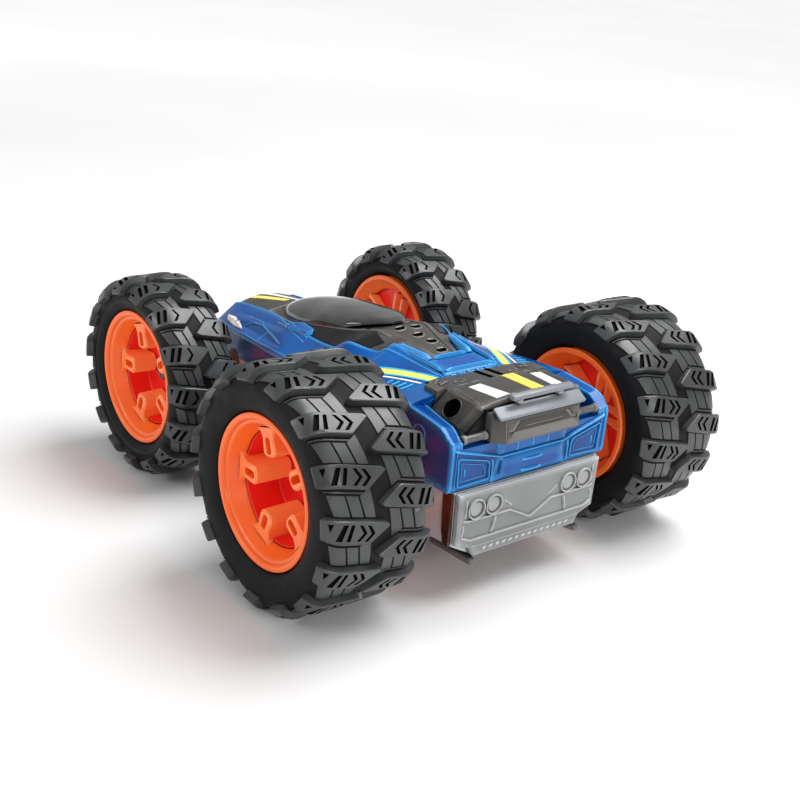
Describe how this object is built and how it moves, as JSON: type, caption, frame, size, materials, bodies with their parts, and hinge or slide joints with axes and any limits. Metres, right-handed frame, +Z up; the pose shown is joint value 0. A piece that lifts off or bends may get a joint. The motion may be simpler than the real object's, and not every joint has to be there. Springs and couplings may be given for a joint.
{
  "type": "rc stunt car",
  "caption": "Double-sided radio-controlled stunt car: a blue race-car body on top, a grey one below, and wide lugged tyres on orange wheels so that it runs either way up.",
  "frame": {"origin": "on the ground plane, at the centre of the car's box seen from above", "axes": "+Z up; +X towards the rear of the blue car, the end with the grey bumper and engine deck; -Y is the blue car's left side"},
  "size_m": [0.2556, 0.242, 0.11],
  "materials": {
    "tyre": "matt soft rubber, smooth sidewall, lugged tread",
    "orange_rim": "satin moulded orange plastic",
    "red_hub": "satin moulded red plastic",
    "black_plastic": "satin moulded black plastic",
    "gloss_black": "polished black plastic",
    "blue_shell": "glossy tinted blue plastic",
    "grey_shell": "satin silver-grey plastic",
    "pale_grey": "satin grey plastic",
    "brown_grey": "satin brown-grey plastic",
    "lens": "pale moulded lens",
    "motor_can": "plated steel can",
    "nylon": "natural nylon",
    "steel": "bright drawn steel",
    "battery_sleeve": "heat-shrunk blue sleeve",
    "board": "green solder-masked board"
  },
  "bodies": {
    "chassis": {"upper_shell": "blue_shell", "hood_panel": "black_plastic", "canopy": "gloss_black", "canopy_surround": "black_plastic", "roof_frame": "blue_shell", "rear_deck": "black_plastic", "rear_block": "black_plastic", "spoiler_strip": "pale_grey", "rear_bar": "pale_grey", "duct_left": "black_plastic", "duct_right": "black_plastic", "strut_left": "brown_grey", "strut_right": "brown_grey", "headlamp_left": "lens", "headlamp_right": "lens", "lower_shell": "grey_shell", "rear_bumper": "grey_shell", "front_bumper": "grey_shell", "skid_plate": "black_plastic", "lower_canopy": "gloss_black", "chassis": "black_plastic", "front_axle": "steel", "battery_pack": "battery_sleeve", "battery_door": "grey_shell", "battery_door_screw": "steel", "circuit_board": "board", "charge_socket": "black_plastic", "motor_left": "motor_can", "motor_right": "motor_can", "compound_pin_left": "steel", "compound_pin_right": "steel", "gear_case_left": "black_plastic", "gear_case_right": "black_plastic", "gear_plate_left": "black_plastic", "gear_plate_right": "black_plastic"},
    "wheel_rear_left": {"tyre_rear_left": "tyre", "rim_rear_left": "orange_rim", "hub_disc_rear_left": "red_hub", "wheel_screw_rear_left": "black_plastic", "rear_axle_left": "steel", "axle_gear_left": "nylon"},
    "wheel_rear_right": {"tyre_rear_right": "tyre", "rim_rear_right": "orange_rim", "hub_disc_rear_right": "red_hub", "wheel_screw_rear_right": "black_plastic", "rear_axle_right": "steel", "axle_gear_right": "nylon"},
    "wheel_front_left": {"tyre_front_left": "tyre", "rim_front_left": "orange_rim", "hub_disc_front_left": "red_hub", "wheel_screw_front_left": "black_plastic"},
    "wheel_front_right": {"tyre_front_right": "tyre", "rim_front_right": "orange_rim", "hub_disc_front_right": "red_hub", "wheel_screw_front_right": "black_plastic"},
    "compound_gear_left": {"compound_gear_left": "nylon"},
    "compound_gear_right": {"compound_gear_right": "nylon"},
    "motor_pinion_left": {"motor_pinion_left": "nylon"},
    "motor_pinion_right": {"motor_pinion_right": "nylon"},
    "power_switch": {"power_switch": "black_plastic"}
  },
  "joints": [
    {"name": "wheel_rear_left_spin", "type": "hinge", "parent": "chassis", "child": "wheel_rear_left", "pos_m": [0.07285, -0.09, 0.055], "axis": [0, 1, 0], "continuous": true},
    {"name": "wheel_rear_right_spin", "type": "hinge", "parent": "chassis", "child": "wheel_rear_right", "pos_m": [0.07285, 0.09, 0.055], "axis": [0, 1, 0], "continuous": true},
    {"name": "wheel_front_left_spin", "type": "hinge", "parent": "chassis", "child": "wheel_front_left", "pos_m": [-0.07645, -0.08, 0.0514], "axis": [0, 1, 0], "continuous": true},
    {"name": "wheel_front_right_spin", "type": "hinge", "parent": "chassis", "child": "wheel_front_right", "pos_m": [-0.07645, 0.08, 0.0514], "axis": [0, 1, 0], "continuous": true},
    {"name": "compound_gear_left_spin", "type": "hinge", "parent": "chassis", "child": "compound_gear_left", "pos_m": [0.05685, -0.036, 0.055], "axis": [0, 1, 0], "continuous": true},
    {"name": "compound_gear_right_spin", "type": "hinge", "parent": "chassis", "child": "compound_gear_right", "pos_m": [0.05685, 0.036, 0.055], "axis": [0, 1, 0], "continuous": true},
    {"name": "motor_pinion_left_spin", "type": "hinge", "parent": "chassis", "child": "motor_pinion_left", "pos_m": [0.04285, -0.032, 0.055], "axis": [0, 1, 0], "continuous": true},
    {"name": "motor_pinion_right_spin", "type": "hinge", "parent": "chassis", "child": "motor_pinion_right", "pos_m": [0.04285, 0.032, 0.055], "axis": [0, 1, 0], "continuous": true},
    {"name": "power_switch_slide", "type": "slide", "parent": "chassis", "child": "power_switch", "axis": [1, 0, 0], "range_m": [0, 0.004]}
  ],
  "couplings": [
    {"joint": "compound_gear_left_spin", "follows": "wheel_rear_left_spin", "ratio": -3},
    {"joint": "motor_pinion_left_spin", "follows": "wheel_rear_left_spin", "ratio": 7.5},
    {"joint": "compound_gear_right_spin", "follows": "wheel_rear_right_spin", "ratio": -3},
    {"joint": "motor_pinion_right_spin", "follows": "wheel_rear_right_spin", "ratio": 7.5}
  ]
}
